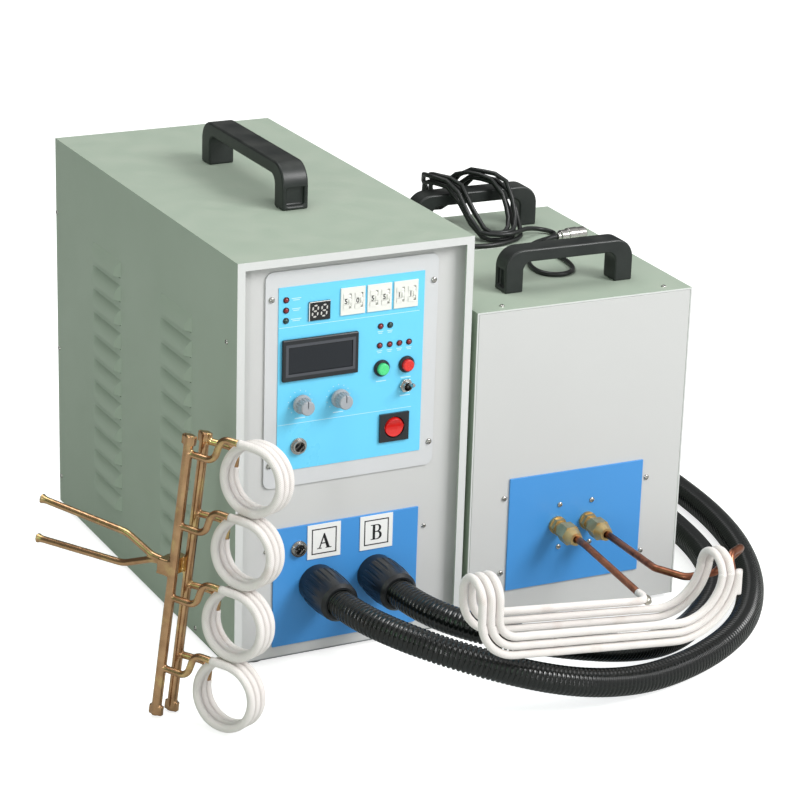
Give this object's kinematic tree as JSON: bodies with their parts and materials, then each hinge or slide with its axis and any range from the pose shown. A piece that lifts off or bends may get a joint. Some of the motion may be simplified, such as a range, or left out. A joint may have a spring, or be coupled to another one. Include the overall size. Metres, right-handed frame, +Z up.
{
  "type": "induction heating machine",
  "caption": "Induction heating machine: power cabinet joined by two ribbed hoses to a transformer cabinet with a saddle work coil, plus a spare multi-ring coil.",
  "frame": {"origin": "centre of the power cabinet on the plane of its feet", "axes": "+X to the right seen from the front, +Y to the back, +Z up"},
  "size_m": [0.8436, 0.8007, 0.4701],
  "materials": {
    "cover_paint": "powder coat, fine texture",
    "panel_paint": "powder coat, satin",
    "frame_paint": "satin",
    "panel_print": "printed film, satin",
    "plate_blue": "satin",
    "tag_white": "printed tag",
    "black_plastic": "satin",
    "handle_black": "moulded, satin",
    "foot_rubber": "matte",
    "window_dark": "gloss",
    "lens_smoke": "smoked",
    "lamp_red": "gloss",
    "wheel_white": "satin",
    "nickel": "nickel plate",
    "button_green": "gloss",
    "button_red": "gloss",
    "knob_grey": "satin",
    "rocker_red": "lit, gloss",
    "gland_black": "moulded",
    "hose_black": "ribbed, satin",
    "zinc": "zinc plate",
    "fan_black": "moulded",
    "guard_wire": "plated wire",
    "brass": "machined",
    "copper": "tarnished copper",
    "sleeve_white": "woven sleeving",
    "alloy": "extruded",
    "lead_black": "satin"
  },
  "bodies": {
    "machine": {"cabinet_tray": "zinc", "cabinet_cover": "cover_paint", "cabinet_front": "panel_paint", "cabinet_back": "panel_paint", "cabinet_feet": "foot_rubber", "cabinet_handle": "handle_black", "control_frame": "frame_paint", "control_panel": "panel_print", "meter_case": "black_plastic", "meter_lens": "lens_smoke", "digit_display": "window_dark", "indicator_lamps": "lamp_red", "digit_blocks": "wheel_white", "button_bezels": "black_plastic", "toggle_body": "nickel", "power_frame": "black_plastic", "signal_sockets": "nickel", "outlet_plate": "plate_blue", "port_tags": "tag_white", "front_glands": "gland_black", "fan_frame": "fan_black", "fan_guard": "guard_wire", "water_spigots": "brass", "supply_inlet": "gland_black", "inner_chassis": "alloy", "unit_tray": "zinc", "unit_cover": "cover_paint", "unit_front": "panel_paint", "unit_back": "panel_paint", "unit_feet": "foot_rubber", "unit_handle_front": "handle_black", "unit_handle_back": "handle_black", "terminal_plate": "plate_blue", "rear_glands": "gland_black", "flare_unions": "brass", "hose_left": "hose_black", "hose_right": "hose_black", "coil_pipes": "copper", "saddle_coil": "sleeve_white", "spare_manifold": "brass", "spare_rings": "sleeve_white", "lead_gland": "gland_black", "lead_plug": "nickel", "lead_run_gland": "lead_black", "lead_run_plug": "lead_black", "lead_hank": "lead_black"},
    "start_button": {"start_button": "button_green"},
    "stop_button": {"stop_button": "button_red"},
    "knob_left": {"knob_left": "knob_grey"},
    "knob_right": {"knob_right": "knob_grey"},
    "toggle": {"toggle_bat": "nickel"},
    "rocker": {"power_rocker": "rocker_red"},
    "fan_rotor": {"fan_rotor": "fan_black"},
    "digit_wheel_1": {"digit_wheel_1": "wheel_white"},
    "digit_wheel_2": {"digit_wheel_2": "wheel_white"},
    "digit_wheel_3": {"digit_wheel_3": "wheel_white"},
    "digit_wheel_4": {"digit_wheel_4": "wheel_white"},
    "digit_wheel_5": {"digit_wheel_5": "wheel_white"},
    "digit_wheel_6": {"digit_wheel_6": "wheel_white"}
  },
  "joints": [
    {"name": "start_button_push", "type": "slide", "parent": "machine", "child": "start_button", "axis": [0, 1, 0], "range_m": [0, 0.0025], "stiffness_N_per_m": 600},
    {"name": "stop_button_push", "type": "slide", "parent": "machine", "child": "stop_button", "axis": [0, 1, 0], "range_m": [0, 0.0025], "stiffness_N_per_m": 600},
    {"name": "knob_left_turn", "type": "hinge", "parent": "machine", "child": "knob_left", "pos_m": [-0.0543, -0.2343, 0.274], "axis": [0, -1, 0], "range_deg": [-150, 150]},
    {"name": "knob_right_turn", "type": "hinge", "parent": "machine", "child": "knob_right", "pos_m": [-0.0137, -0.2343, 0.27441], "axis": [0, -1, 0], "range_deg": [-150, 150]},
    {"name": "toggle_swing", "type": "hinge", "parent": "machine", "child": "toggle", "pos_m": [0.0586, -0.2319, 0.277], "axis": [1, 0, 0], "range_deg": [0, 28]},
    {"name": "rocker_tilt", "type": "hinge", "parent": "machine", "child": "rocker", "pos_m": [0.047, -0.2343, 0.23521], "axis": [1, 0, 0], "range_deg": [-16, 0]},
    {"name": "digit_wheel_1_turn", "type": "hinge", "parent": "machine", "child": "digit_wheel_1", "pos_m": [-0.00714, -0.22614, 0.37085], "axis": [1, 0, 0], "continuous": true},
    {"name": "digit_wheel_2_turn", "type": "hinge", "parent": "machine", "child": "digit_wheel_2", "pos_m": [0.00534, -0.22614, 0.37085], "axis": [1, 0, 0], "continuous": true},
    {"name": "digit_wheel_3_turn", "type": "hinge", "parent": "machine", "child": "digit_wheel_3", "pos_m": [0.02136, -0.22614, 0.37085], "axis": [1, 0, 0], "continuous": true},
    {"name": "digit_wheel_4_turn", "type": "hinge", "parent": "machine", "child": "digit_wheel_4", "pos_m": [0.03384, -0.22614, 0.37085], "axis": [1, 0, 0], "continuous": true},
    {"name": "digit_wheel_5_turn", "type": "hinge", "parent": "machine", "child": "digit_wheel_5", "pos_m": [0.04986, -0.22614, 0.37085], "axis": [1, 0, 0], "continuous": true},
    {"name": "digit_wheel_6_turn", "type": "hinge", "parent": "machine", "child": "digit_wheel_6", "pos_m": [0.06234, -0.22614, 0.37085], "axis": [1, 0, 0], "continuous": true},
    {"name": "fan_spin", "type": "hinge", "parent": "machine", "child": "fan_rotor", "pos_m": [0, 0.2025, 0.305], "axis": [0, 1, 0], "continuous": true}
  ]
}
